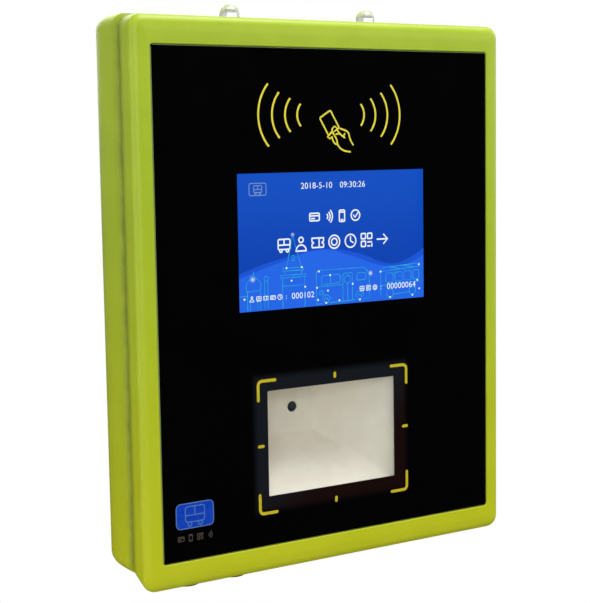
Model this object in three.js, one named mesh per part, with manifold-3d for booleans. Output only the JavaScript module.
// Wall-mounted bus fare validator: a two-shell case with a printed glass front, a colour display,
// a contactless card reader, a code-scanning chamber, status lamps and a service bay at the back.
// Units are millimetres. In the case group, +X is to the right, +Y runs from the front face back
// towards the wall, and +Z is up. The exported group's origin is the centre of the wall plate.
import * as THREE from "three";
import { ConvexGeometry } from "three/addons/geometries/ConvexGeometry.js";
import { mergeVertices } from "three/addons/utils/BufferGeometryUtils.js";
import Module from "manifold-3d";

// ---- Driving dimensions ----
const caseWidth = 210;
const caseHeight = 264;
const caseDepth = 46;
const wall = 3;
const cornerRadius = 6.5;

const frontDepth = 14.2; // front shell, from its face to its rear rim
const frontEdgeRadius = 4.5;
const frontRimRadius = 2;
const undersideSlope = 0.45; // rise of the front shell's underside per millimetre of depth

const rimGap = 1.2; // between the two rims, filled by the gasket
const rearRimRadius = 5;
const rearTaperDepth = 17;
const rearTaperInset = 6; // at the sides
const rearTaperRise = 2.5; // at the top and the underside
const rearBottomRise = 5; // rear shell's underside above the front shell's
const rearTopRise = 1.5;

const frameSide = 9.2; // lime frame beside, above and below the glass
const frameTop = 13.6;
const frameBottom = 13;
const glassThickness = 2.2;
const glassRecess = 0.3;
const glassCornerRadius = 1.5;
const glassClearance = 0.25;
const adhesiveThickness = 0.5;
const ledgeWidth = 5;
const ledgeThickness = 2;

const displayWidth = 120;
const displayHeight = 76;
const displayThickness = 4.2;
const displayX = 0.8;
const displayRise = 27.8; // display centre above the glass centre

const windowWidth = 74.3;
const windowHeight = 51.2;
const windowX = -1.3;
const windowDrop = 68.9; // scan window centre below the glass centre
const chamberDepth = 32; // front face to the chamber's rear wall
const chamberRearWidth = 27.8;
const chamberRearHeight = 24.6;
const chamberRearX = -5.9; // rear wall's centre from the window's centre
const chamberRearRise = 9.7;
const chamberWall = 1.5;

const plateSize = 120;
const plateThickness = 2.5;
const plateScrewSpacing = 100;
const plateTapSpacing = 75;
const plateTapRadius = 2;

const lampRadius = 5;
const lampSpacing = 79;
const lampDepth = 28;
const lampHeight = 7; // above the top of the rear shell

const doorWidth = 81.2;
const doorHeight = 33;
const doorThickness = 2;
const doorCentreZ = 89;
const doorGap = 0.4;
const doorSwingGap = 1.2; // above the door, where its top edge swings past the recess

// ---- Clearances ----
const seat = 0.1; // between faces that rest on each other
const fit = 0.3; // round a piece in its hole or pocket
const beyond = 1; // how far a cutting body runs past what it cuts

// ---- Facets ----
const fine = 4; // segments in a small rounding
const round = 20; // segments round a small cylinder
const coarse = 16; // segments round the smallest holes and pins

const wasm = await Module();
wasm.setup();

// ---- Solids from three.js geometries ----
function solid(geometry) {
  const bare = geometry.clone();
  for (const name of Object.keys(bare.attributes)) {
    if (name !== "position") {
      bare.deleteAttribute(name);
    }
  }
  const merged = mergeVertices(bare, 1e-4);
  return new wasm.Manifold(
    new wasm.Mesh({
      numProp: 3,
      vertProperties: new Float32Array(merged.attributes.position.array),
      triVerts: new Uint32Array(merged.index.array),
    }),
  );
}

function geometryOf(body) {
  const mesh = body.getMesh();
  const geometry = new THREE.BufferGeometry();
  geometry.setAttribute("position", new THREE.BufferAttribute(mesh.vertProperties, 3));
  geometry.setIndex(new THREE.BufferAttribute(mesh.triVerts, 1));
  const flat = geometry.toNonIndexed();
  flat.computeVertexNormals();
  return flat;
}

function box(x0, x1, y0, y1, z0, z1) {
  const geometry = new THREE.BoxGeometry(x1 - x0, y1 - y0, z1 - z0);
  return solid(geometry.translate((x0 + x1) / 2, (y0 + y1) / 2, (z0 + z1) / 2));
}

// A box given by its centre in the front view, its width and height, and its depths.
function block(x, z, width, height, y0, y1) {
  return box(x - width / 2, x + width / 2, y0, y1, z - height / 2, z + height / 2);
}

function cylinderX(radius, x0, x1, y, z, segments = round) {
  const geometry = new THREE.CylinderGeometry(radius, radius, x1 - x0, segments);
  return solid(geometry.rotateZ(Math.PI / 2).translate((x0 + x1) / 2, y, z));
}

function cylinderY(radius, y0, y1, x, z, segments = round) {
  const geometry = new THREE.CylinderGeometry(radius, radius, y1 - y0, segments);
  return solid(geometry.translate(x, (y0 + y1) / 2, z));
}

function cylinderZ(radius, z0, z1, x, y, segments = round) {
  const geometry = new THREE.CylinderGeometry(radius, radius, z1 - z0, segments);
  return solid(geometry.rotateX(Math.PI / 2).translate(x, y, (z0 + z1) / 2));
}

function extrude(shape, length) {
  return new THREE.ExtrudeGeometry(shape, { depth: length, bevelEnabled: false, curveSegments: fine });
}

// A shape in (y, z) carried along X, one in (x, z) along Y, and one in (x, y) along Z.
function alongX(shape, x0, x1) {
  return solid(extrude(shape, x1 - x0).rotateX(Math.PI / 2).rotateZ(Math.PI / 2).translate(x0, 0, 0));
}

function alongY(shape, y0, y1) {
  return solid(extrude(shape, y1 - y0).rotateX(Math.PI / 2).translate(0, y1, 0));
}

function alongZ(shape, z0, z1) {
  return solid(extrude(shape, z1 - z0).translate(0, 0, z0));
}

function polygon(points) {
  return new THREE.Shape(points.map(([u, v]) => new THREE.Vector2(u, v)));
}

function roundedRectangle(u0, u1, v0, v1, radius) {
  const shape = new THREE.Shape();
  shape.moveTo(u0 + radius, v0);
  shape.lineTo(u1 - radius, v0);
  shape.absarc(u1 - radius, v0 + radius, radius, -Math.PI / 2, 0, false);
  shape.lineTo(u1, v1 - radius);
  shape.absarc(u1 - radius, v1 - radius, radius, 0, Math.PI / 2, false);
  shape.lineTo(u0 + radius, v1);
  shape.absarc(u0 + radius, v1 - radius, radius, Math.PI / 2, Math.PI, false);
  shape.lineTo(u0, v0 + radius);
  shape.absarc(u0 + radius, v0 + radius, radius, Math.PI, Math.PI * 1.5, false);
  return shape;
}

function roundedPlate(x, z, width, height, radius, y0, y1) {
  const left = x - width / 2;
  const low = z - height / 2;
  return alongY(roundedRectangle(left, left + width, low, low + height, radius), y0, y1);
}

// A body turned about +Y from a profile of [radius, y] points that starts and ends on the axis.
function turned(profile, segments = round) {
  return solid(new THREE.LatheGeometry(profile.map(([r, y]) => new THREE.Vector2(r, y)), segments));
}

// The same body with its axis turned from +Y to +Z.
function upright(geometryProfile, segments = round) {
  const points = geometryProfile.map(([r, z]) => new THREE.Vector2(r, z));
  return solid(new THREE.LatheGeometry(points, segments).rotateX(Math.PI / 2));
}

function hexagonY(acrossFlats, y0, y1, x, z) {
  const radius = acrossFlats / Math.sqrt(3);
  return cylinderY(radius, y0, y1, x, z, 6);
}

function hexagonZ(acrossFlats, z0, z1, x, y) {
  const radius = acrossFlats / Math.sqrt(3);
  return cylinderZ(radius, z0, z1, x, y, 6);
}

function joined(first, ...others) {
  return others.reduce((sum, body) => sum.add(body), first);
}

function cut(first, ...tools) {
  return tools.reduce((rest, body) => rest.subtract(body), first);
}

// ---- The scene graph ----
const validator = new THREE.Group();
validator.name = "validator";
const plateOuterY = caseDepth + seat + plateThickness;
const caseGroup = new THREE.Group();
caseGroup.position.set(0, -plateOuterY, 0);
validator.add(caseGroup);

const finishes = {
  limeShell: { color: 0xa9c229, roughness: 0.45, metalness: 0 },
  blackGlass: { color: 0x050506, roughness: 0.06, metalness: 0 },
  darkRubber: { color: 0x1c1f1a, roughness: 0.85, metalness: 0 },
  foamTape: { color: 0x17181a, roughness: 0.95, metalness: 0 },
  displayBlue: { color: 0x1456d0, roughness: 0.3, metalness: 0 },
  sheetSteel: { color: 0xb4b7ba, roughness: 0.38, metalness: 1 },
  zincSteel: { color: 0xc3c6c8, roughness: 0.3, metalness: 1 },
  circuitBoard: { color: 0x1d5a36, roughness: 0.5, metalness: 0 },
  ferrite: { color: 0x3a3b3e, roughness: 0.7, metalness: 0 },
  creamPlastic: { color: 0xe2dccb, roughness: 0.55, metalness: 0 },
  blackPlastic: { color: 0x141517, roughness: 0.5, metalness: 0 },
  flexCopper: { color: 0xb9772a, roughness: 0.5, metalness: 0 },
  lensGlass: { color: 0x0a0c14, roughness: 0.05, metalness: 0 },
  clearResin: { color: 0xe9ecec, roughness: 0.08, metalness: 0 },
  ceramic: { color: 0xd8cfae, roughness: 0.6, metalness: 0 },
  paperCone: { color: 0x2a2a2c, roughness: 0.9, metalness: 0 },
  nickel: { color: 0xc9c6bd, roughness: 0.22, metalness: 1 },
  redButton: { color: 0xb3231d, roughness: 0.5, metalness: 0 },
};

function add(name, geometry, finish, parent = caseGroup) {
  const mesh = new THREE.Mesh(geometry, new THREE.MeshStandardMaterial(finishes[finish]));
  mesh.name = name;
  parent.add(mesh);
  return mesh;
}

function addSolid(name, body, finish, parent = caseGroup) {
  return add(name, geometryOf(body), finish, parent);
}

// A piece made about its own origin and then placed.
function place(name, body, finish, x, y, z, parent = caseGroup) {
  const mesh = addSolid(name, body, finish, parent);
  mesh.position.set(x, y, z);
  return mesh;
}

// ---- Shell outlines ----
// A shell is where three extruded outlines cross: its plan, its side view and its front view.
// Each profile lists [inset, depth] from the shell's front to its back.
function crossed(halfWidth, bottom, top, planProfile, sideProfile, radius, bottomExtra) {
  const planBack = [...planProfile].reverse();
  const sideBack = [...sideProfile].reverse();
  const plan = [
    ...planProfile.map(([inset, depth]) => [-halfWidth + inset, depth]),
    ...planBack.map(([inset, depth]) => [halfWidth - inset, depth]),
  ];
  const side = [
    ...sideProfile.map(([inset, depth]) => [depth, bottom + inset + bottomExtra(depth)]),
    ...sideBack.map(([inset, depth]) => [depth, top - inset]),
  ];
  const first = planProfile[0][1];
  const last = planBack[0][1];
  const planBody = alongZ(polygon(plan), bottom - beyond, top + beyond);
  const sideBody = alongX(polygon(side), -halfWidth - beyond, halfWidth + beyond);
  const view = roundedRectangle(-halfWidth, halfWidth, bottom, top, radius);
  return planBody.intersect(sideBody).intersect(alongY(view, first - beyond, last + beyond));
}

const flat = () => 0;

// Quarter arcs as [inset, depth] points.
function openingArc(radius, start) {
  const points = [];
  for (let i = 0; i <= fine; i += 1) {
    const angle = ((i / fine) * Math.PI) / 2;
    points.push([radius * (1 - Math.sin(angle)), start + radius * (1 - Math.cos(angle))]);
  }
  return points;
}

function closingArc(insetReach, depthReach, end) {
  const points = [];
  for (let i = 0; i <= fine; i += 1) {
    const angle = ((i / fine) * Math.PI) / 2;
    points.push([insetReach * (1 - Math.cos(angle)), end - depthReach * (1 - Math.sin(angle))]);
  }
  return points;
}

const halfWidth = caseWidth / 2;
const frontBottom = -caseHeight / 2;
const frontTop = caseHeight / 2;
const rearBottom = frontBottom + rearBottomRise;
const rearTop = frontTop + rearTopRise;
const rearStart = frontDepth + rimGap;
const backInner = caseDepth - wall;

const frontProfile = [
  ...openingArc(frontEdgeRadius, 0),
  ...closingArc(frontRimRadius, frontRimRadius, frontDepth),
];
const rearPlanProfile = [
  ...openingArc(rearRimRadius, rearStart),
  ...closingArc(rearTaperInset, rearTaperDepth, caseDepth),
];
const rearSideProfile = [
  ...openingArc(rearRimRadius, rearStart),
  ...closingArc(rearTaperRise, rearTaperDepth, caseDepth),
];
const slopeFromFront = (depth) => undersideSlope * Math.max(0, depth - frontEdgeRadius);

// ---- Screw posts shared by the two shells ----
const rimInner = rearRimRadius + wall; // inset of the rear rim's inner edge
const postRadius = 4.2;
const postX = halfWidth - rimInner - postRadius + 0.2; // the post runs a little into the rim
const postFromRim = 6.8;
const middlePostZ = -26;
const postHeights = [
  rearTop - rimInner - postFromRim,
  middlePostZ,
  rearBottom + rimInner + postFromRim,
];
const screwRadius = 1.5;
const screwLength = 16;
const screwHeadRadius = 3;
const screwHeadHeight = 2.4;
const postFloor = 7; // thickness under the screw head
const wellClearance = 0.5; // round the head, for a driver
const wellFloorY = rearStart + postFloor;
const postPlaces = [];
for (const side of [-1, 1]) {
  for (const z of postHeights) {
    postPlaces.push([side * postX, z]);
  }
}

// ---- Front glass, its tape and the front shell ----
const glassWidth = caseWidth - 2 * frameSide;
const glassHeight = caseHeight - frameTop - frameBottom;
const glassZ = (frameBottom - frameTop) / 2;
const glassFront = glassRecess;
const glassBack = glassFront + glassThickness;
const ledgeFront = glassBack + adhesiveThickness + 2 * seat;
const ledgeBack = ledgeFront + ledgeThickness;
const openingWidth = glassWidth - 2 * ledgeWidth;
const openingHeight = glassHeight - 2 * ledgeWidth;

addSolid(
  "front_glass",
  roundedPlate(0, glassZ, glassWidth, glassHeight, glassCornerRadius, glassFront, glassBack),
  "blackGlass",
);

const tapeInset = 0.5;
addSolid(
  "glass_tape",
  cut(
    block(
      0,
      glassZ,
      glassWidth - 2 * tapeInset,
      glassHeight - 2 * tapeInset,
      glassBack + seat,
      ledgeFront - seat,
    ),
    block(0, glassZ, openingWidth + 2 * tapeInset, openingHeight + 2 * tapeInset, 0, ledgeBack),
  ),
  "foamTape",
);

const rimFlange = 3; // depth of the inner flange at the front shell's rim
const rimCornerRadius = 1;
const gasketMargin = 0.6;
const gasketCornerRadius = 1.5;
const gasketWidth = 2;
const rimOpening = rimInner + fit; // inset of the front shell's rim opening from the rear outline

function frontShell() {
  const outer = crossed(
    halfWidth,
    frontBottom,
    frontTop,
    frontProfile,
    frontProfile,
    cornerRadius,
    slopeFromFront,
  );
  const cavityBack = frontDepth - rimFlange;
  const cavity = crossed(
    halfWidth - wall,
    frontBottom + wall,
    frontTop - wall,
    [[0, ledgeBack], [0, cavityBack]],
    [[0, ledgeBack], [0, cavityBack]],
    cornerRadius - wall,
    slopeFromFront,
  );
  const rim = roundedRectangle(
    -halfWidth + rimOpening,
    halfWidth - rimOpening,
    rearBottom + rimOpening,
    rearTop - rimOpening,
    rimCornerRadius,
  );
  const pocketWidth = glassWidth + 2 * glassClearance;
  const pocketHeight = glassHeight + 2 * glassClearance;
  const pocketRadius = glassCornerRadius + glassClearance;
  let body = cut(
    outer,
    cavity,
    alongY(rim, cavityBack - beyond, frontDepth + beyond),
    roundedPlate(0, glassZ, pocketWidth, pocketHeight, pocketRadius, -beyond, ledgeFront),
    block(0, glassZ, openingWidth, openingHeight, 0, ledgeBack + beyond),
  );
  for (const [x, z] of postPlaces) {
    body = joined(body, cylinderY(postRadius, ledgeBack - beyond, frontDepth, x, z));
  }
  for (const [x, z] of postPlaces) {
    const holeEnd = wellFloorY - screwLength - beyond;
    body = cut(body, cylinderY(screwRadius + fit, holeEnd, frontDepth + beyond, x, z, coarse));
  }
  return body;
}
addSolid("front_housing", frontShell(), "limeShell");

// ---- Case gasket ----
function gasketRing() {
  const outerInset = rearRimRadius + gasketMargin;
  const innerInset = outerInset + gasketWidth;
  const ring = (inset) =>
    roundedRectangle(
      -halfWidth + inset,
      halfWidth - inset,
      rearBottom + inset,
      rearTop - inset,
      gasketCornerRadius,
    );
  const y0 = frontDepth + seat;
  const y1 = rearStart - seat;
  return cut(alongY(ring(outerInset), y0, y1), alongY(ring(innerInset), y0 - beyond, y1 + beyond));
}
addSolid("case_gasket", gasketRing(), "darkRubber");

// ---- Service bay: a pocket in the back wall, closed by a hinged door ----
const doorBottom = doorCentreZ - doorHeight / 2;
const doorTop = doorCentreZ + doorHeight / 2;
const doorInnerY = caseDepth - doorThickness;
const sealThickness = 0.6;
const recessFloorY = doorInnerY - sealThickness - 2 * seat;
const lipMargin = 3; // the recess floor that the seal rests on
const apertureWidth = doorWidth - 2 * lipMargin - 2; // a wider lip at the sides
const apertureBottom = doorBottom + lipMargin;
const apertureTop = doorTop - lipMargin;
const lipThickness = 2.2;
const lipInnerY = recessFloorY - lipThickness;
const bayDepth = 11;
const bayFrontY = caseDepth - bayDepth; // where the bay's walls meet the service board
const bayOverHinge = 8; // bay walls above the hinge's pin
const bayInnerMargin = 4; // bay interior past the aperture, below it
const baySideWall = 4;
const hingeRadius = 2.3;
const hingeY = caseDepth - hingeRadius - 0.2;
const hingeRise = 3.5; // pin above the door's top edge
const hingeZ = doorTop + hingeRise;
const hingePinRadius = 1.25;
const hingeSweep = 4.8; // the door's corner about the pin, plus clearance
const trenchSide = 6.6; // from the door's side to the hinge trench
const trenchHalf = doorWidth / 2 - trenchSide;
const pinEnd = doorWidth / 2;

function bayBlock() {
  const halfBay = doorWidth / 2 + baySideWall;
  const walls = box(
    -halfBay,
    halfBay,
    bayFrontY,
    backInner + beyond,
    doorBottom - baySideWall,
    hingeZ + bayOverHinge,
  );
  const interior = box(
    -apertureWidth / 2 - lipMargin,
    apertureWidth / 2 + lipMargin,
    bayFrontY - beyond,
    lipInnerY,
    apertureBottom - bayInnerMargin,
    apertureTop + beyond,
  );
  return cut(walls, interior);
}

function bayCuts() {
  const aperture = box(
    -apertureWidth / 2,
    apertureWidth / 2,
    lipInnerY - beyond,
    caseDepth + beyond,
    apertureBottom,
    apertureTop,
  );
  const recess = box(
    -doorWidth / 2 - doorGap,
    doorWidth / 2 + doorGap,
    recessFloorY,
    caseDepth + beyond,
    doorBottom - doorGap,
    doorTop + doorSwingGap,
  );
  const trench = box(
    -trenchHalf,
    trenchHalf,
    hingeY - hingeRadius - fit,
    caseDepth + beyond,
    doorTop - doorGap,
    hingeZ + hingeSweep,
  );
  const pinHole = cylinderX(hingePinRadius + fit, -pinEnd - fit, pinEnd + fit, hingeY, hingeZ, coarse);
  return [aperture, recess, trench, pinHole];
}

// ---- Things in the rear shell's underside and top ----
const connectorDepth = 29;
const powerX = -70;
const dataX = -44;
const connectorThreadRadius = 6.2;
const connectorBarrelRadius = connectorThreadRadius + 0.8;
const connectorFlangeRadius = connectorBarrelRadius + 2;
const connectorPadRadius = connectorFlangeRadius + 0.6;
const connectorNutFlats = 2 * (connectorThreadRadius + 1.6);
const portX = -16;
const portWidth = 14.4;
const portHeight = 7;
const ventX = 78;
const ventThreadRadius = 3.8;
const speakerX = 45;
const speakerWidth = 40;
const speakerDepth = 18;
const speakerY = 29.6;
const slotCount = 6;
const slotPitch = 5;
const slotWidth = 2;
const slotLength = 13;
const lampX = [-lampSpacing / 2, lampSpacing / 2];
const flapHingeY = 37.5;
const flapHingeZ = rearBottom - 2.1;
const flapWidth = 19;
const flapEarThickness = 2.2;
const flapPinRadius = 0.8;
const padRise = 1.4; // flat pads inside the rear shell's rounded underside
const speakerPadMargin = 2; // beside the speaker, and half as much again in depth
const flapEarHalf = 1.9; // half the ears' size round the pin
const flapSideGap = 0.5;
const cavityBackInset = 0.8; // last step of the cavity in to the back wall
const undersideCutTop = rearBottom + wall + 3; // cuts in the underside run up past the pads
const plateBossRadius = 4.6;
const plateBossDepth = 9;
const plateHoleDepth = 7.5; // in the boss, from the back wall's inner face
const plateScrewRadius = 1.9;

// Four places round the wall plate's centre, as [x, z].
function platePlaces(spacing) {
  const half = spacing / 2;
  return [[-half, half], [half, half], [-half, -half], [half, -half]];
}

function speakerPad() {
  const width = speakerWidth + 2 * speakerPadMargin;
  const depth = speakerDepth + 1.5 * speakerPadMargin;
  return box(
    speakerX - width / 2,
    speakerX + width / 2,
    speakerY - depth / 2,
    speakerY + depth / 2,
    rearBottom + wall - beyond,
    rearBottom + wall + padRise,
  );
}

function flapEar(side) {
  const inner = portX + side * (flapWidth / 2 + flapSideGap);
  const outer = inner + side * flapEarThickness;
  return box(
    Math.min(inner, outer),
    Math.max(inner, outer),
    flapHingeY - flapEarHalf,
    flapHingeY + flapEarHalf,
    flapHingeZ - flapEarHalf,
    rearBottom + beyond * 2,
  );
}

// The part of a profile in front of the back wall, closed straight to it and run past the rim.
function cavityProfile(profile) {
  const inner = profile.filter(([, depth]) => depth <= backInner);
  const [lastInset] = inner[inner.length - 1];
  return [[inner[0][0], rearStart - beyond], ...inner, [lastInset + cavityBackInset, backInner]];
}

function rearShell() {
  const outer = crossed(
    halfWidth,
    rearBottom,
    rearTop,
    rearPlanProfile,
    rearSideProfile,
    cornerRadius,
    flat,
  );
  const cavity = crossed(
    halfWidth - wall,
    rearBottom + wall,
    rearTop - wall,
    cavityProfile(rearPlanProfile),
    cavityProfile(rearSideProfile),
    cornerRadius - wall,
    flat,
  );
  let body = joined(cut(outer, cavity), bayBlock(), speakerPad(), flapEar(-1), flapEar(1));
  for (const x of [powerX, dataX]) {
    const padLow = rearBottom + wall - beyond;
    const padTop = rearBottom + wall + padRise;
    body = joined(body, cylinderZ(connectorPadRadius, padLow, padTop, x, connectorDepth));
  }
  for (const [x, z] of postPlaces) {
    body = joined(body, cylinderY(postRadius, rearStart, backInner + beyond, x, z));
  }
  for (const [x, z] of platePlaces(plateScrewSpacing)) {
    body = joined(body, cylinderY(plateBossRadius, backInner - plateBossDepth, backInner + beyond, x, z));
  }
  for (const [x, z] of postPlaces) {
    body = cut(
      body,
      cylinderY(screwRadius + fit, rearStart - beyond, caseDepth, x, z, coarse),
      cylinderY(screwHeadRadius + wellClearance, wellFloorY, caseDepth + beyond, x, z),
    );
  }
  for (const [x, z] of platePlaces(plateScrewSpacing)) {
    const holeFront = backInner - plateHoleDepth;
    body = cut(body, cylinderY(plateScrewRadius + fit, holeFront, caseDepth + beyond, x, z, coarse));
  }
  body = cut(body, ...bayCuts());
  const low = rearBottom - beyond;
  const pinHoleHalf = flapWidth / 2 + flapSideGap + flapEarThickness + fit;
  const high = undersideCutTop;
  for (const x of [powerX, dataX]) {
    body = cut(body, cylinderZ(connectorThreadRadius + fit, low, high, x, connectorDepth));
  }
  body = cut(
    body,
    cylinderZ(ventThreadRadius + fit, low, high, ventX, connectorDepth),
    box(
      portX - portWidth / 2 - fit,
      portX + portWidth / 2 + fit,
      connectorDepth - portHeight / 2 - fit,
      connectorDepth + portHeight / 2 + fit,
      low,
      high,
    ),
    cylinderX(flapPinRadius + fit, portX - pinHoleHalf, portX + pinHoleHalf, flapHingeY, flapHingeZ, coarse),
  );
  for (let i = 0; i < slotCount; i += 1) {
    const x = speakerX + (i - (slotCount - 1) / 2) * slotPitch;
    const slot = box(
      x - slotWidth / 2,
      x + slotWidth / 2,
      speakerY - slotLength / 2,
      speakerY + slotLength / 2,
      low,
      high,
    );
    body = cut(body, slot);
  }
  for (const x of lampX) {
    body = cut(body, cylinderZ(lampRadius + fit, rearTop - wall - beyond, rearTop + beyond, x, lampDepth));
  }
  return body;
}

addSolid("rear_housing", rearShell(), "limeShell");

// ---- Wall plate and its four countersunk screws ----
const plateScrewHead = 3.8;
const plateScrewCone = 1.9;
const plateScrewLength = 8;
const plateCornerRadius = 5;

function countersunkScrew() {
  return turned([
    [0, -plateScrewLength],
    [plateScrewRadius, -plateScrewLength],
    [plateScrewRadius, -plateScrewCone],
    [plateScrewHead, 0],
    [0, 0],
  ], coarse);
}

function wallPlate() {
  const y0 = caseDepth + seat;
  let body = roundedPlate(0, 0, plateSize, plateSize, plateCornerRadius, y0, plateOuterY);
  for (const [x, z] of platePlaces(plateScrewSpacing)) {
    const tool = turned([
      [0, -plateThickness - beyond],
      [plateScrewRadius + fit, -plateThickness - beyond],
      [plateScrewRadius + fit, -plateScrewCone],
      [plateScrewHead + fit, 0],
      [plateScrewHead + fit, beyond],
      [0, beyond],
    ]).translate([x, plateOuterY, z]);
    body = cut(body, tool);
  }
  for (const [x, z] of platePlaces(plateTapSpacing)) {
    body = cut(body, cylinderY(plateTapRadius, y0 - beyond, plateOuterY + beyond, x, z, coarse));
  }
  return body;
}
addSolid("wall_plate", wallPlate(), "sheetSteel");

platePlaces(plateScrewSpacing).forEach(([x, z], index) => {
  place("plate_screw_" + (index + 1), countersunkScrew(), "zincSteel", x, plateOuterY - seat, z);
});

// ---- Case screws, in wells from the back ----
const headSideShare = 0.55; // of the head's height, before it domes
const headTopShare = 0.7; // of the head's radius, at its top
function panScrew() {
  return turned([
    [0, -screwLength],
    [screwRadius, -screwLength],
    [screwRadius, 0],
    [screwHeadRadius, 0],
    [screwHeadRadius, screwHeadHeight * headSideShare],
    [screwHeadRadius * headTopShare, screwHeadHeight],
    [0, screwHeadHeight],
  ], coarse);
}
postPlaces.forEach(([x, z], index) => {
  place("case_screw_" + (index + 1), panScrew(), "zincSteel", x, wellFloorY + seat, z);
});

// ---- Display, its bracket with standoffs, and its ribbon ----
const displayZ = glassZ + displayRise;
const displayGap = 0.5; // behind the glass
const displayFront = glassBack + displayGap;
const displayBack = displayFront + displayThickness;
addSolid(
  "display_module",
  block(displayX, displayZ, displayWidth, displayHeight, displayFront, displayBack),
  "displayBlue",
);

const bracketThickness = 1.2;
const bracketFront = displayBack + fit;
const bracketBack = bracketFront + bracketThickness;
const bracketHeight = displayHeight + 8;
const bracketWidth = displayWidth + 20;
const lighteningSize = 40; // two square openings in the bracket
const lighteningX = 30;
const standoffFlats = 5.5;
const standoffX = 62;
const standoffRoot = 0.4; // the standoffs start inside the bracket
const armZ = 32;
const armHeight = 10;
const footWidth = 6;
const boardFront = 20;
const boardThickness = 1.6;
const boardBack = boardFront + boardThickness;

function displayBracket() {
  let body = block(0, displayZ, bracketWidth, bracketHeight, bracketFront, bracketBack);
  const reach = openingWidth / 2 + footWidth;
  for (const z of [displayZ - armZ, displayZ + armZ]) {
    body = joined(body, block(0, z, 2 * reach, armHeight, bracketFront, bracketBack));
    for (const side of [-1, 1]) {
      const footX = side * (reach - footWidth / 2);
      body = joined(body, block(footX, z, footWidth, armHeight, ledgeBack + seat, bracketBack));
    }
  }
  for (const side of [-1, 1]) {
    const lightening = block(
      side * lighteningX,
      displayZ,
      lighteningSize,
      lighteningSize,
      bracketFront - beyond,
      bracketBack + beyond,
    );
    body = cut(body, lightening);
  }
  for (const side of [-1, 1]) {
    for (const z of [displayZ - armZ, displayZ + armZ]) {
      const root = bracketBack - standoffRoot;
      body = joined(body, hexagonY(standoffFlats, root, boardFront - seat, side * standoffX, z));
    }
  }
  return body;
}
addSolid("display_bracket", displayBracket(), "sheetSteel");

// The ribbon leaves the display's lower edge, hangs in a loop and ends at the board's face.
const ribbonWidth = 20;
const ribbonThickness = 0.5;
const ribbonGap = 0.4;
const ribbonSag = 9;
function displayRibbon() {
  const low = displayZ - displayHeight / 2;
  const start = [displayFront + displayThickness / 2 - seat, low - ribbonGap];
  const end = [boardFront - ribbonGap, low - ribbonSag / 3];
  const middle = [(start[0] + end[0]) / 2, low - ribbonSag];
  const curve = new THREE.CatmullRomCurve3([
    new THREE.Vector3(0, start[0], start[1]),
    new THREE.Vector3(0, start[0] + 0.6, start[1] - 4),
    new THREE.Vector3(0, middle[0], middle[1]),
    new THREE.Vector3(0, end[0] - 2.5, end[1] - 3.5),
    new THREE.Vector3(0, end[0], end[1]),
  ]);
  const steps = 16;
  const upper = [];
  const lower = [];
  for (let i = 0; i <= steps; i += 1) {
    const point = curve.getPoint(i / steps);
    const along = curve.getTangent(i / steps);
    upper.push([point.y - (along.z * ribbonThickness) / 2, point.z + (along.y * ribbonThickness) / 2]);
    lower.unshift([point.y + (along.z * ribbonThickness) / 2, point.z - (along.y * ribbonThickness) / 2]);
  }
  return alongX(polygon([...upper, ...lower]), displayX - ribbonWidth / 2, displayX + ribbonWidth / 2);
}
addSolid("display_ribbon", displayRibbon(), "flexCopper");

// ---- Card reader aerial behind the glass, with its ferrite backing ----
const aerialWidth = 116;
const aerialHeight = 43;
const aerialGap = 1.5; // above the display
const aerialZ = displayZ + displayHeight / 2 + aerialHeight / 2 + aerialGap;
const aerialFront = glassBack + 0.4; // just behind the glass
const ferriteThickness = 0.5;
const ferriteSide = 3; // board past the ferrite at each side, and a little less above and below
addSolid(
  "card_aerial_board",
  block(0, aerialZ, aerialWidth, aerialHeight, aerialFront, aerialFront + boardThickness),
  "circuitBoard",
);
const ferriteFront = aerialFront + boardThickness + seat;
addSolid(
  "card_aerial_ferrite",
  block(
    0,
    aerialZ,
    aerialWidth - 2 * ferriteSide,
    aerialHeight - 2 * ferriteSide + beyond,
    ferriteFront,
    ferriteFront + ferriteThickness,
  ),
  "ferrite",
);

// ---- Scanning chamber ----
const windowZ = glassZ - windowDrop;
const chamberFront = glassBack + fit;
const chamberMargin = 1.5; // funnel's mouth past the window
const chamberFlange = 6;

function frustum(grow, frontY, rearY) {
  const points = [];
  const rearX = windowX + chamberRearX;
  const rearZ = windowZ + chamberRearRise;
  const frontHalfWidth = windowWidth / 2 + chamberMargin + grow;
  const frontHalfHeight = windowHeight / 2 + chamberMargin + grow;
  const rearHalfWidth = chamberRearWidth / 2 + grow;
  const rearHalfHeight = chamberRearHeight / 2 + grow;
  for (const sx of [-1, 1]) {
    for (const sz of [-1, 1]) {
      points.push(new THREE.Vector3(windowX + sx * frontHalfWidth, frontY, windowZ + sz * frontHalfHeight));
      points.push(new THREE.Vector3(rearX + sx * rearHalfWidth, rearY, rearZ + sz * rearHalfHeight));
    }
  }
  return solid(new ConvexGeometry(points));
}

const cameraX = windowX - 3.5;
const cameraZ = windowZ + chamberRearRise;
const cameraSize = 20;
const cameraBackGap = 0.5; // to the back wall
const cameraHoleRadius = 2.7;
const lensRadius = 2.3;
const lensSetBack = 0.4;

function scanReflector() {
  const flange = block(
    windowX,
    windowZ,
    windowWidth + 2 * chamberFlange,
    windowHeight + 2 * chamberFlange,
    chamberFront,
    chamberFront + chamberWall,
  );
  return cut(
    joined(frustum(chamberWall, chamberFront, chamberDepth + chamberWall), flange),
    frustum(0, chamberFront - 0.01, chamberDepth),
    cylinderY(
      cameraHoleRadius,
      chamberDepth - beyond,
      chamberDepth + chamberWall + beyond,
      cameraX,
      cameraZ,
    ),
  );
}
addSolid("scan_reflector", scanReflector(), "creamPlastic");

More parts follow.
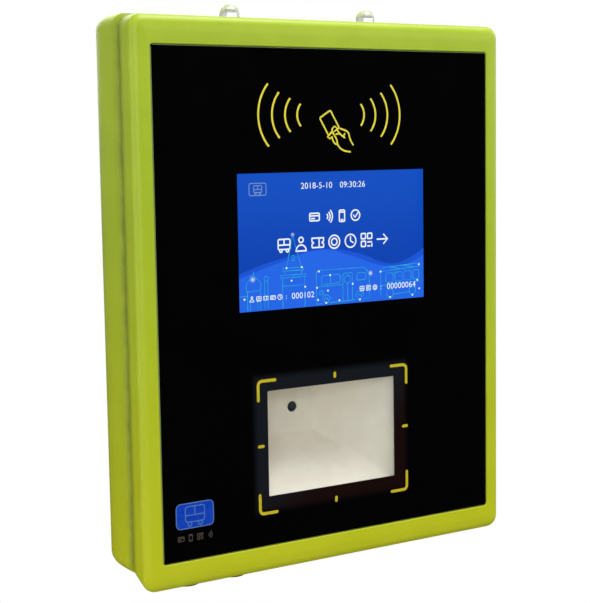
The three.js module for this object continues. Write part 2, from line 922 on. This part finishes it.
const cameraFront = chamberDepth + chamberWall + fit;
addSolid(
  "scan_camera",
  block(cameraX, cameraZ, cameraSize, cameraSize, cameraFront, backInner - cameraBackGap),
  "blackPlastic",
);
addSolid(
  "scan_lens",
  cylinderY(lensRadius, chamberDepth + lensSetBack, cameraFront - seat, cameraX, cameraZ),
  "lensGlass",
);
const lightBoardZ = windowZ + windowHeight / 2 + chamberMargin + chamberWall - fit;
const lightBoardHalf = 32;
const lightBoardFront = 7;
const lightBoardBack = 19;
addSolid(
  "scan_light_board",
  box(
    windowX - lightBoardHalf,
    windowX + lightBoardHalf,
    lightBoardFront,
    lightBoardBack,
    lightBoardZ,
    lightBoardZ + boardThickness,
  ),
  "circuitBoard",
);

// ---- Main board and what stands on it ----
const mainBoardLow = -31;
const mainBoardHigh = 108;
const mainBoardHalf = 82;
addSolid(
  "main_board",
  box(-mainBoardHalf, mainBoardHalf, boardFront, boardBack, mainBoardLow, mainBoardHigh),
  "circuitBoard",
);

const onBoard = boardBack + seat;
const shieldX = -20;
const shieldZ = 40;
const shieldWidth = 46;
const shieldHeight = 36;
const shieldDepth = 3.2;
const shieldWall = 0.5;
function shieldCan() {
  const insideWidth = shieldWidth - 2 * shieldWall;
  const insideHeight = shieldHeight - 2 * shieldWall;
  const insideBack = onBoard + shieldDepth - shieldWall;
  return cut(
    block(shieldX, shieldZ, shieldWidth, shieldHeight, onBoard, onBoard + shieldDepth),
    block(shieldX, shieldZ, insideWidth, insideHeight, onBoard - beyond, insideBack),
  );
}
addSolid("processor_shield", shieldCan(), "nickel");

const cellRadius = 10;
const cellThickness = 3.2;
const cellX = 50;
const cellZ = -8;
const holderWall = 1.8;
const holderRim = 2.6;
const holderFloor = 0.9;
function cellHolder() {
  return turned([
    [0, 0],
    [cellRadius + holderWall, 0],
    [cellRadius + holderWall, holderRim],
    [cellRadius + fit, holderRim],
    [cellRadius + fit, holderFloor],
    [0, holderFloor],
  ]);
}
function clockCell() {
  return turned([[0, 0], [cellRadius, 0], [cellRadius, cellThickness], [0, cellThickness]]);
}
place("clock_cell_holder", cellHolder(), "blackPlastic", cellX, onBoard, cellZ);
place("clock_cell", clockCell(), "nickel", cellX, onBoard + holderFloor + seat, cellZ);

const capacitorRadius = 4;
const capacitorHeight = 10.6;
const capacitorEdge = 0.4;
const capacitorX = [62, 76];
const capacitorZ = 26;
function capacitor() {
  return turned([
    [0, 0],
    [capacitorRadius, 0],
    [capacitorRadius, capacitorHeight - capacitorEdge],
    [capacitorRadius - capacitorEdge, capacitorHeight],
    [0, capacitorHeight],
  ], coarse);
}
capacitorX.forEach((x, index) => {
  place("power_capacitor_" + (index + 1), capacitor(), "sheetSteel", x, onBoard, capacitorZ);
});

// ---- Service board with the card sockets and the reset switch ----
const serviceBoardBack = bayFrontY - 0.2; // just clear of the bay's walls
const serviceBoardFront = serviceBoardBack - boardThickness;
const serviceBoardSide = 5; // past the door's sides
const serviceBoardDrop = 6; // below the door
addSolid(
  "service_board",
  box(
    -doorWidth / 2 - serviceBoardSide,
    doorWidth / 2 + serviceBoardSide,
    serviceBoardFront,
    serviceBoardBack,
    doorBottom - serviceBoardDrop,
    hingeZ + bayOverHinge,
  ),
  "circuitBoard",
);

const socketDepth = 2.6;
const socketSide = 1.5; // wall beside the card's slot
const slotFloor = 0.8;
const slotRoof = 1.8;
const accessWidth = 26;
const accessHeight = 17;
const accessX = [-21, 7];
const networkWidth = 14;
const networkHeight = 12;
const networkX = 29;
const networkRise = 5.5; // above the door's centre
const onService = serviceBoardBack + seat;
function cardSocket(width, height) {
  return cut(
    block(0, 0, width, height, 0, socketDepth),
    block(socketSide, 0, width, height - 2 * socketSide, slotFloor, slotRoof),
  );
}
accessX.forEach((x, index) => {
  const socket = cardSocket(accessWidth, accessHeight);
  place("access_socket_" + (index + 1), socket, "nickel", x, onService, doorCentreZ);
});
const networkSocket = cardSocket(networkWidth, networkHeight);
place("network_socket", networkSocket, "nickel", networkX, onService, doorCentreZ + networkRise);

const resetX = networkX;
const resetZ = doorCentreZ - 8.5; // below the network socket
const resetRadius = 1.6;
const resetTravel = 0.8;
const resetSize = 6.2;
const resetHeight = 3.4;
const resetFloor = 0.8;
const buttonLength = 3.6;
const buttonEdge = 0.4;
function resetSwitch() {
  return cut(
    block(0, 0, resetSize, resetSize, 0, resetHeight),
    cylinderY(resetRadius + fit, resetFloor, resetHeight + beyond, 0, 0, coarse),
  );
}
place("reset_switch", resetSwitch(), "blackPlastic", resetX, onService, resetZ);
function resetButton() {
  return turned([
    [0, 0],
    [resetRadius, 0],
    [resetRadius, buttonLength - buttonEdge],
    [resetRadius - buttonEdge, buttonLength],
    [0, buttonLength],
  ], coarse);
}
const resetBase = resetFloor + resetTravel + 2 * seat;
place("reset_button", resetButton(), "redButton", resetX, onService + resetBase, resetZ);

// ---- Service door, hinged along its top edge, with a quarter-turn lock ----
const lockX = -27;
const lockZ = apertureBottom + 7.5; // the cam turns down over the lip
const lockBodyRadius = 5;
const lockPlugRadius = 3.3;
const lockNeckRadius = 1.8;
const camGap = 0.8; // in front of the lip
const camThickness = 1.6;
const camBack = lipInnerY - camGap;
const camFront = camBack - camThickness;
const camWidth = 5.6;
const camOverlap = 2.2; // of the turned cam with the lip
const camReach = lockZ - apertureBottom + camOverlap;

const doorGroup = new THREE.Group();
doorGroup.position.set(0, hingeY, hingeZ);
caseGroup.add(doorGroup);

const doorCornerRadius = 1.5;
const knuckleInner = 12; // from the middle to each knuckle
const webStep = 0.2; // the web to each knuckle is thinner than the door by this at both faces
const notchFromSide = 4;
const notchWidth = 10;
const notchHeight = 4;
const notchDepth = 0.8;
function serviceDoor() {
  const half = doorWidth / 2;
  let body = roundedPlate(
    0,
    doorCentreZ,
    doorWidth,
    doorHeight,
    doorCornerRadius,
    doorInnerY,
    caseDepth,
  );
  for (const side of [-1, 1]) {
    const x0 = Math.min(side * knuckleInner, side * (trenchHalf - doorGap));
    const x1 = Math.max(side * knuckleInner, side * (trenchHalf - doorGap));
    body = joined(
      body,
      cylinderX(hingeRadius, x0, x1, hingeY, hingeZ),
      box(x0, x1, doorInnerY + webStep, caseDepth - webStep, doorTop - beyond, hingeZ),
    );
  }
  const notch = box(
    half - notchFromSide - notchWidth,
    half - notchFromSide,
    caseDepth - notchDepth,
    caseDepth + beyond,
    doorBottom - beyond,
    doorBottom + notchHeight,
  );
  body = cut(
    body,
    cylinderX(hingePinRadius + fit, -half, half, hingeY, hingeZ, coarse),
    cylinderY(lockBodyRadius + fit, doorInnerY - beyond, caseDepth + beyond, lockX, lockZ),
    notch,
  );
  return body.translate([0, -hingeY, -hingeZ]);
}
addSolid("service_door", serviceDoor(), "limeShell", doorGroup);

const hingePin = cylinderX(hingePinRadius, -pinEnd, pinEnd, 0, 0, coarse);
place("door_hinge_pin", hingePin, "zincSteel", 0, hingeY, hingeZ);

const sealInset = 0.6;
const sealTopInset = 0.8;
function doorSeal() {
  const y0 = recessFloorY + seat;
  const y1 = doorInnerY - seat;
  return cut(
    box(
      -doorWidth / 2 + sealInset,
      doorWidth / 2 - sealInset,
      y0,
      y1,
      doorBottom + sealInset,
      doorTop - sealTopInset,
    ),
    box(-apertureWidth / 2, apertureWidth / 2, y0 - beyond, y1 + beyond, apertureBottom, apertureTop),
  );
}
addSolid("door_seal", doorSeal(), "darkRubber");

const lockGroup = new THREE.Group();
lockGroup.position.set(lockX, -hingeY, lockZ - hingeZ);
doorGroup.add(lockGroup);
const flangeHeight = 1;
const flangeReach = 1.8;
const flangeChamfer = 0.4;
const lockNutThickness = 1.8;
const lockNutFlats = 11;
const lockBodyFront = camBack + seat + fit;
const plugStep = 0.4; // of the plug's shoulder inside the body
const plugSink = 0.3; // of the plug's face below the flange, and of its neck past the cam
const toolSlotWidth = 0.9;
const toolSlotLength = 4.4;
const toolSlotDepth = 2.7;
const camHub = 0.6; // round the cam's hub past its arm

function lockBody() {
  return turned([
    [lockPlugRadius + fit, lockBodyFront],
    [lockBodyRadius, lockBodyFront],
    [lockBodyRadius, caseDepth + seat],
    [lockBodyRadius + flangeReach, caseDepth + seat],
    [lockBodyRadius + flangeReach - flangeChamfer, caseDepth + flangeHeight],
    [lockPlugRadius + fit, caseDepth + flangeHeight],
    [lockPlugRadius + fit, lockBodyFront],
  ]);
}
addSolid("lock_body", lockBody(), "nickel", lockGroup);
addSolid(
  "lock_nut",
  cut(
    hexagonY(lockNutFlats, doorInnerY - seat - lockNutThickness, doorInnerY - seat, 0, 0),
    cylinderY(lockBodyRadius + fit, 0, caseDepth, 0, 0),
  ),
  "nickel",
  lockGroup,
);
function lockPlug() {
  const plugFace = caseDepth + flangeHeight - plugSink;
  const body = turned([
    [0, camFront - plugSink],
    [lockNeckRadius, camFront - plugSink],
    [lockNeckRadius, lockBodyFront + plugStep],
    [lockPlugRadius, lockBodyFront + plugStep],
    [lockPlugRadius, plugFace],
    [0, plugFace],
  ]);
  return cut(body, block(0, 0, toolSlotWidth, toolSlotLength, plugFace - toolSlotDepth, plugFace + beyond));
}
addSolid("lock_plug", lockPlug(), "nickel", lockGroup);
function lockCam() {
  return cut(
    joined(
      cylinderY(camWidth / 2 + camHub, camFront, camBack, 0, 0),
      box(0, camReach, camFront, camBack, -camWidth / 2, camWidth / 2),
    ),
    cylinderY(lockNeckRadius + fit, camFront - beyond, camBack + beyond, 0, 0),
  );
}
addSolid("lock_cam", lockCam(), "zincSteel", lockGroup);

// ---- Underside: connectors, vent, speaker, service port and its flap ----
const connectorTop = 14; // inner end above the rear shell's underside
const flangeThickness = 2;
const barrelLength = 10;
const barrelWall = 1.6;
const faceRecess = 1.5;
const nutThickness = 2.6;

function roundConnector() {
  const flangeLow = -seat - flangeThickness;
  const barrelLow = flangeLow - barrelLength;
  return upright([
    [0, barrelLow + faceRecess],
    [connectorBarrelRadius - barrelWall, barrelLow + faceRecess],
    [connectorBarrelRadius - barrelWall, barrelLow],
    [connectorBarrelRadius, barrelLow],
    [connectorBarrelRadius, flangeLow],
    [connectorFlangeRadius, flangeLow],
    [connectorFlangeRadius, -seat],
    [connectorThreadRadius, -seat],
    [connectorThreadRadius, connectorTop],
    [0, connectorTop],
  ]);
}
const connectorNutLow = wall + padRise + seat;
function connectorNut() {
  return cut(
    hexagonZ(connectorNutFlats, connectorNutLow, connectorNutLow + nutThickness, 0, 0),
    cylinderZ(connectorThreadRadius + fit, 0, connectorTop, 0, 0),
  );
}
for (const [label, x] of [["power", powerX], ["data", dataX]]) {
  place(label + "_connector", roundConnector(), "nickel", x, connectorDepth, rearBottom);
  place(label + "_connector_nut", connectorNut(), "nickel", x, connectorDepth, rearBottom);
}

const ventFlats = 12;
const ventHeadHeight = 3.6;
const ventStemTop = 8;
function ventPlug() {
  return joined(
    hexagonZ(ventFlats, -seat - ventHeadHeight, -seat, 0, 0),
    cylinderZ(ventThreadRadius, -seat - beyond, ventStemTop, 0, 0),
  );
}
place("vent_plug", ventPlug(), "blackPlastic", ventX, connectorDepth, rearBottom);

const portTop = 14;
const portShell = 0.7;
const portFloor = 2;
const tongueSide = 1.6; // from the shell's sides
const tongueBack = 1.3;
const tongueThickness = 1.8;
function servicePort() {
  const halfX = portWidth / 2;
  const halfY = portHeight / 2;
  const insideX = halfX - portShell;
  const insideY = halfY - portShell;
  const tongueX = halfX - tongueSide;
  const tongueY = halfY - tongueBack;
  return joined(
    cut(
      box(-halfX, halfX, -halfY, halfY, 0, portTop),
      box(-insideX, insideX, -insideY, insideY, -beyond, portTop - portFloor),
    ),
    box(-tongueX, tongueX, tongueY - tongueThickness, tongueY, 1, portTop - 1),
  );
}
place("service_port", servicePort(), "nickel", portX, connectorDepth, rearBottom);

const portBoardLow = rearBottom + portTop + fit;
const portBoardFront = 20.8;
const portBoardBack = 38;
const portBoardLeft = powerX - 14;
const portBoardRight = portX + 12;
addSolid(
  "port_board",
  box(
    portBoardLeft,
    portBoardRight,
    portBoardFront,
    portBoardBack,
    portBoardLow,
    portBoardLow + boardThickness,
  ),
  "circuitBoard",
);

const flapGroup = new THREE.Group();
flapGroup.position.set(portX, flapHingeY, flapHingeZ);
caseGroup.add(flapGroup);
const flapThickness = 1.5;
const flapGap = 0.4; // below the rear shell
const flapReach = 6.5; // in front of the port's centre
const tabHalf = 4;
const tabReach = 8;
const tabStep = 0.5;
function portFlap() {
  const panelTop = rearBottom - flapGap - flapHingeZ;
  const panelLow = panelTop - flapThickness;
  const half = flapWidth / 2;
  const pinHalf = half + flapEarThickness;
  const portY = connectorDepth - flapHingeY;
  return joined(
    cylinderX(flapThickness, -half, half, 0, 0),
    cylinderX(flapPinRadius, -pinHalf, pinHalf, 0, 0, coarse),
    box(-half, half, portY - flapReach, 0, panelLow, panelTop),
    box(-tabHalf, tabHalf, portY - tabReach, portY - flapReach + tabStep, panelLow, panelTop - tabStep),
  );
}
addSolid("port_flap", portFlap(), "darkRubber", flapGroup);

const speakerLow = rearBottom + wall + padRise + seat;
const speakerRim = 3.5;
const speakerFrameWall = 2;
const speakerBackWall = 1;
const coneHalfWidth = 17.4;
const coneHalfDepth = 6.4;
const coneLow = 0.6;
const coneHigh = 2;
const voiceRadius = 6.3; // of the hole in the frame's back, and of the cone's ends
const magnetRadius = 8;
const magnetHeight = 6;
function speakerFrame() {
  const halfWidthInside = speakerWidth / 2 - speakerFrameWall;
  const halfDepthInside = speakerDepth / 2 - speakerFrameWall;
  const floor = speakerRim - speakerBackWall;
  return cut(
    box(-speakerWidth / 2, speakerWidth / 2, -speakerDepth / 2, speakerDepth / 2, 0, speakerRim),
    box(-halfWidthInside, halfWidthInside, -halfDepthInside, halfDepthInside, -beyond, floor),
    cylinderZ(voiceRadius, 0, speakerRim + beyond, 0, 0),
  );
}
place("speaker_frame", speakerFrame(), "sheetSteel", speakerX, speakerY, speakerLow);
const coneShape = roundedRectangle(
  -coneHalfWidth,
  coneHalfWidth,
  -coneHalfDepth,
  coneHalfDepth,
  voiceRadius,
);
place("speaker_cone", alongZ(coneShape, coneLow, coneHigh), "paperCone", speakerX, speakerY, speakerLow);
const magnet = cylinderZ(magnetRadius, 0, magnetHeight, 0, 0);
place("speaker_magnet", magnet, "ferrite", speakerX, speakerY, speakerLow + speakerRim + seat);

// ---- Status lamps on the top, their board, and two radio aerials ----
const lampFlangeTop = rearTop - wall - 0.5; // a thin seal's room under the shell
const lampFlangeThickness = 1.2;
const lampFlangeReach = 1.5;
function lampLens() {
  const domeStart = rearTop + lampHeight - lampRadius;
  const profile = [
    [0, lampFlangeTop - lampFlangeThickness],
    [lampRadius + lampFlangeReach, lampFlangeTop - lampFlangeThickness],
    [lampRadius + lampFlangeReach, lampFlangeTop],
    [lampRadius, lampFlangeTop],
  ];
  const domeSteps = 5;
  for (let i = 0; i <= domeSteps; i += 1) {
    const angle = ((i / domeSteps) * Math.PI) / 2;
    const radius = i === domeSteps ? 0 : lampRadius * Math.cos(angle);
    profile.push([radius, domeStart + lampRadius * Math.sin(angle)]);
  }
  return upright(profile);
}
["left", "right"].forEach((side, index) => {
  place("lamp_lens_" + side, lampLens(), "clearResin", lampX[index], lampDepth, 0);
});
const lampBoardTop = lampFlangeTop - lampFlangeThickness - seat;
const lampBoardSide = 10; // past each lamp's centre
const lampBoardHalfDepth = 7;
addSolid(
  "lamp_board",
  box(
    lampX[0] - lampBoardSide,
    lampX[1] + lampBoardSide,
    lampDepth - lampBoardHalfDepth,
    lampDepth + lampBoardHalfDepth,
    lampBoardTop - boardThickness,
    lampBoardTop,
  ),
  "circuitBoard",
);

const patchLeft = -84;
const patchWidth = 20;
const patchFront = 19;
const patchDepth = 18;
const patchHeight = 4;
const patchGap = 0.9; // under the rear shell's top wall
function positionAerial() {
  const high = rearTop - wall - patchGap;
  const low = high - patchHeight;
  return box(patchLeft, patchLeft + patchWidth, patchFront, patchFront + patchDepth, low, high);
}
addSolid("position_aerial", positionAerial(), "ceramic");

const stripGap = 1.1; // from the rear shell's left wall
const stripThickness = 1.2;
const stripFront = 21;
const stripBack = 38;
const stripLow = 10;
const stripHigh = 98;
function networkAerial() {
  const left = -halfWidth + wall + stripGap;
  return box(left, left + stripThickness, stripFront, stripBack, stripLow, stripHigh);
}
addSolid("network_aerial", networkAerial(), "circuitBoard");

export default validator;
